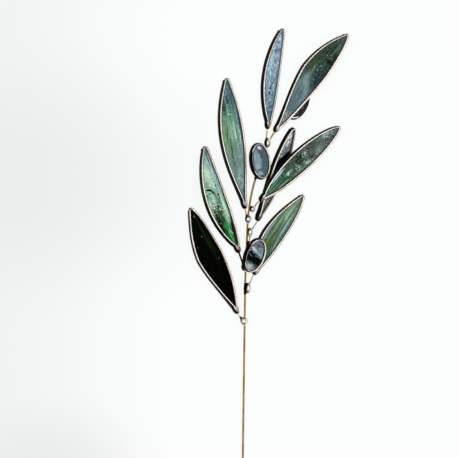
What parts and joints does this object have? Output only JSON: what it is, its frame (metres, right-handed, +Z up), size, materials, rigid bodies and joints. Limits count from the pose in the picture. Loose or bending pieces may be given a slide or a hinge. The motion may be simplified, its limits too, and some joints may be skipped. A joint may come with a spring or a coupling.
{
  "type": "stained-glass olive branch",
  "caption": "Olive branch in stained glass: leaves and olives of streaky art glass in solder rims, held by brass wires on a gently curved brass rod.",
  "frame": {"origin": "bottom centre of the bounding box, on the surface that the branch lies on", "axes": "+Y along the rod from its cut end to the tips, +X to the right as seen from the front, +Z up, out of the front of the glass"},
  "size_m": [0.1122, 0.3794, 0.0193],
  "materials": {
    "brass": "bright drawn brass",
    "solder": "bright hand-laid solder with a dark patina on the sides",
    "glass_black": "near-black streaky art glass, glossy",
    "glass_mint": "mint and bright green streaky art glass with hammered swirls, glossy",
    "glass_sage": "slate to sage streaky art glass, glossy",
    "glass_sky": "pale blue streaky art glass with dark specks, glossy",
    "glass_forest": "deep green and slate streaky art glass, glossy",
    "glass_moss": "moss green and grey streaky art glass, glossy",
    "glass_fern": "green and blue-grey striped art glass, glossy",
    "glass_frost": "frosty grey mottled art glass, glossy",
    "glass_slate": "blue-grey streaky art glass, glossy",
    "glass_dusk": "blue-grey streaky art glass with a dark band, glossy",
    "glass_night": "near-black art glass with slate wisps, glossy"
  },
  "bodies": {
    "root": {"stem_rod": "brass", "leaf_lower_left_rim": "solder", "leaf_lower_left_glass": "glass_black", "leaf_lower_left_wire": "brass", "leaf_middle_left_rim": "solder", "leaf_middle_left_glass": "glass_mint", "leaf_middle_left_wire": "brass", "leaf_upper_left_rim": "solder", "leaf_upper_left_glass": "glass_sage", "leaf_upper_left_wire": "brass", "leaf_top_rim": "solder", "leaf_top_glass": "glass_sky", "leaf_top_wire": "brass", "leaf_top_right_rim": "solder", "leaf_top_right_glass": "glass_forest", "leaf_top_right_wire": "brass", "leaf_upper_right_rim": "solder", "leaf_upper_right_glass": "glass_moss", "leaf_upper_right_wire": "brass", "leaf_lower_right_rim": "solder", "leaf_lower_right_glass": "glass_fern", "leaf_lower_right_wire": "brass", "leaf_middle_right_rim": "solder", "leaf_middle_right_glass": "glass_frost", "leaf_middle_right_wire": "brass", "olive_upper_rim": "solder", "olive_upper_glass": "glass_slate", "olive_upper_bead": "solder", "olive_lower_rim": "solder", "olive_lower_glass": "glass_dusk", "olive_lower_wire": "brass", "olive_lower_bead": "solder", "olive_top_rim": "solder", "olive_top_glass": "glass_night", "olive_top_wire": "brass", "olive_top_bead": "solder", "joint_lowest": "solder", "joint_lower": "solder", "joint_left": "solder", "joint_middle": "solder", "joint_upper": "solder", "joint_side": "solder", "joint_top": "solder"}
  },
  "joints": []
}
